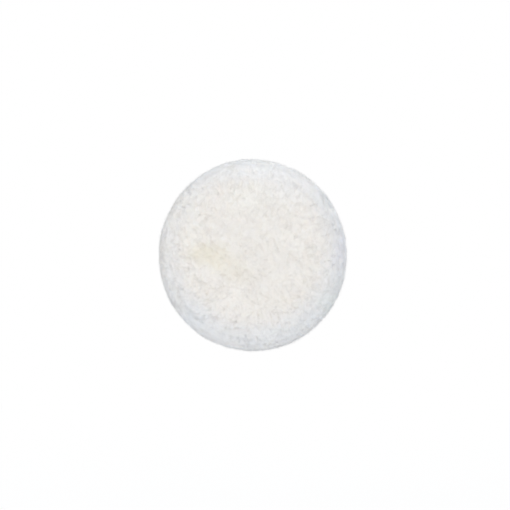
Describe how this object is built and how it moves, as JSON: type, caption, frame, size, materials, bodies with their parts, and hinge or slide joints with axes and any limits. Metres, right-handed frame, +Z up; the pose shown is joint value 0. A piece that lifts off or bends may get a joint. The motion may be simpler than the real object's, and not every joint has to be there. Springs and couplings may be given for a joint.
{
  "type": "felt polishing wheel",
  "caption": "Round wool felt polishing wheel with a deep soft nap, gripped by a foam-backed hook plate on a threaded hub and a plain round arbor shank.",
  "frame": {"origin": "on the spin axis, half way between the polishing face and the end of the shank", "axes": "+Y along the spin axis towards the shank, so the polishing face looks to -Y; +Z up, +X to the right of someone facing the polishing face"},
  "size_m": [0.1, 0.086, 0.1],
  "materials": {
    "wool": "soft cream-white combed wool nap",
    "carrier_cloth": "undyed knitted polyester",
    "latex": "matt brushed latex coat",
    "felt": "dense pressed wool felt",
    "loop_fabric": "brushed white loop fabric",
    "thread": "twisted white polyester thread",
    "hook_sheet": "black moulded hook sheet",
    "foam": "charcoal microcellular foam",
    "nylon": "black glass-filled nylon, moulded grain",
    "steel": "zinc-plated turned steel",
    "rivet_steel": "plated rivet steel",
    "red_fibre": "red vulcanised fibre",
    "turned_steel": "fine-turned steel with a thin oil film",
    "adhesive": "clear amber double-sided adhesive film",
    "glass_fibre": "woven glass-fibre and epoxy laminate"
  },
  "bodies": {
    "arbor": {"arbor": "turned_steel"},
    "washer": {"fibre_washer": "red_fibre"},
    "hub": {"hub_insert": "steel", "hub_rivets": "rivet_steel", "rivet_ring": "steel", "backing_plate": "nylon", "glass_fibre_disc": "glass_fibre", "foam_bond_film": "adhesive", "foam_cushion": "foam"},
    "face": {"hook_bond_film": "adhesive", "hook_disc": "hook_sheet"},
    "pad": {"loop_disc": "loop_fabric", "hem_stitching": "thread", "felt_core": "felt", "latex_backcoat": "latex", "carrier_cloth": "carrier_cloth", "wool_pile": "wool"}
  },
  "joints": [
    {"name": "washer_slide", "type": "slide", "parent": "arbor", "child": "washer", "axis": [0, -1, 0], "range_m": [0, 0.012]},
    {"name": "hub_unscrew", "type": "hinge", "parent": "washer", "child": "hub", "pos_m": [0, 0, 0], "axis": [0, -1, 0], "range_deg": [0, 2160]},
    {"name": "face_press", "type": "slide", "parent": "hub", "child": "face", "axis": [0, 1, 0], "range_m": [0, 0.0035], "stiffness_N_per_m": 6000, "deforming": ["foam_cushion"]},
    {"name": "pad_peel", "type": "slide", "parent": "face", "child": "pad", "axis": [0, -1, 0], "range_m": [0, 0.05]}
  ],
  "couplings": [
    {"joint": "washer_slide", "follows": "hub_unscrew", "m_per_rad": 0.00031831}
  ]
}
